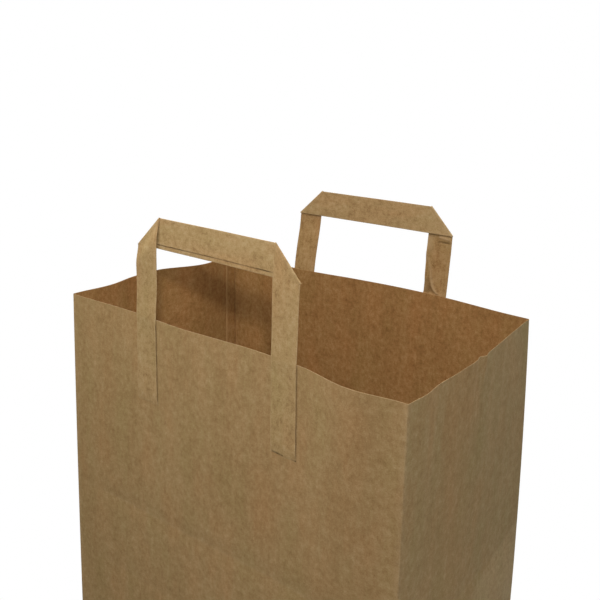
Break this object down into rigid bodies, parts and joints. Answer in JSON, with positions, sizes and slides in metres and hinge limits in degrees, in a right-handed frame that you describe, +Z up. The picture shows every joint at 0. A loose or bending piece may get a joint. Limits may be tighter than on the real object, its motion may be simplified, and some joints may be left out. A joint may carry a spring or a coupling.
{
  "type": "paper carrier bag",
  "caption": "Open brown paper carrier bag with side gussets, a folded block bottom and a flat folded tape handle glued outside each wide panel.",
  "frame": {"origin": "middle of the underside, on the surface that the bag stands on", "axes": "+Z up to the open mouth, +X along the wide panels, -Y out of the front panel"},
  "size_m": [0.268, 0.1815, 0.372],
  "materials": {
    "bag_paper": "matt, unbleached brown, uncoated",
    "tape_paper": "matt, unbleached brown, several plies glued flat"
  },
  "bodies": {
    "root": {"bag_body": "bag_paper", "front_handle": "tape_paper", "rear_handle": "tape_paper"}
  },
  "joints": []
}
